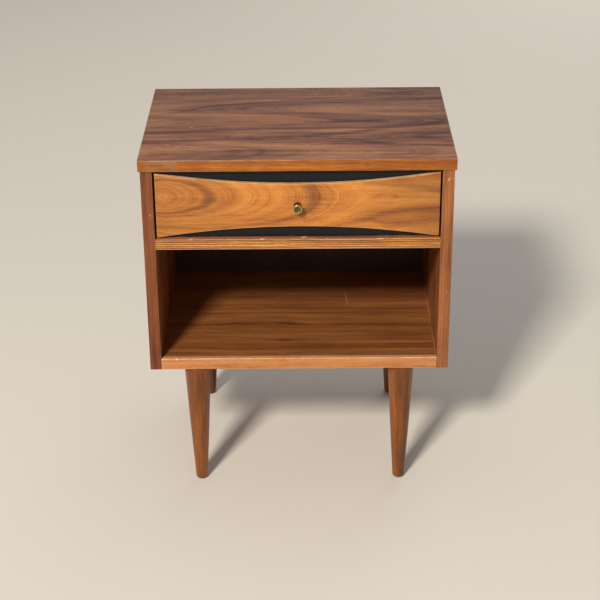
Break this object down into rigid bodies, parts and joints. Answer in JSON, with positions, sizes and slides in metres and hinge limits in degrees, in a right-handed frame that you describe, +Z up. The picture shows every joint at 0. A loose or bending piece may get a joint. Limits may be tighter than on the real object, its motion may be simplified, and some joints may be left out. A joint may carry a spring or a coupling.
{
  "type": "nightstand with drawer",
  "caption": "Low walnut bedside table with a bow-tie faced drawer over an open shelf bay, on round tapered legs.",
  "frame": {"origin": "on the floor, under the middle of the whole piece with its knob (bottom centre of the bounding box)", "axes": "+Z up; the drawer's face looks along -Y; +X is the right-hand side seen from the front"},
  "size_m": [0.508, 0.3678, 0.607],
  "materials": {
    "top_veneer": "satin walnut veneer, dark straight figure along the width",
    "edging": "satin solid walnut edging",
    "case_side": "satin walnut veneer, upright grain",
    "side_edging": "satin solid walnut strip, upright grain",
    "shelf": "satin walnut veneer",
    "shelf_edging": "satin solid walnut edging",
    "rail": "satin light striped hardwood",
    "drawer_face": "satin golden walnut veneer with nested ring figure",
    "leg": "satin turned walnut",
    "maple": "plain sanded hardwood",
    "core_board": "plain board",
    "black_paint": "painted satin black wood",
    "brass": "aged satin brass",
    "steel": "plain steel"
  },
  "bodies": {
    "case": {"top_core": "core_board", "top_veneer": "top_veneer", "top_edging_front": "edging", "top_edging_left": "edging", "top_edging_right": "edging", "side_left": "case_side", "side_edging_left": "side_edging", "side_right": "case_side", "side_edging_right": "side_edging", "divider_board": "maple", "divider_rail": "rail", "shelf_board": "shelf", "shelf_edging": "shelf_edging", "back_panel": "core_board", "drawer_guide_rail": "maple", "drawer_kicker": "maple", "drawer_stop_left": "maple", "drawer_stop_right": "maple", "leg_front_left": "leg", "leg_glide_front_left": "steel", "leg_bolt_front_left": "steel", "leg_insert_front_left": "steel", "leg_rear_left": "leg", "leg_glide_rear_left": "steel", "leg_bolt_rear_left": "steel", "leg_insert_rear_left": "steel", "leg_front_right": "leg", "leg_glide_front_right": "steel", "leg_bolt_front_right": "steel", "leg_insert_front_right": "steel", "leg_rear_right": "leg", "leg_glide_rear_right": "steel", "leg_bolt_rear_right": "steel", "leg_insert_rear_right": "steel"},
    "drawer": {"drawer_front": "black_paint", "drawer_overlay": "drawer_face", "drawer_side_left": "maple", "drawer_side_right": "maple", "drawer_back": "maple", "drawer_bottom": "maple", "drawer_rear_guide": "maple", "knob": "brass", "knob_washer": "steel", "knob_screw": "steel"}
  },
  "joints": [
    {"name": "drawer_slide", "type": "slide", "parent": "case", "child": "drawer", "axis": [0, -1, 0], "range_m": [0, 0.23]}
  ]
}
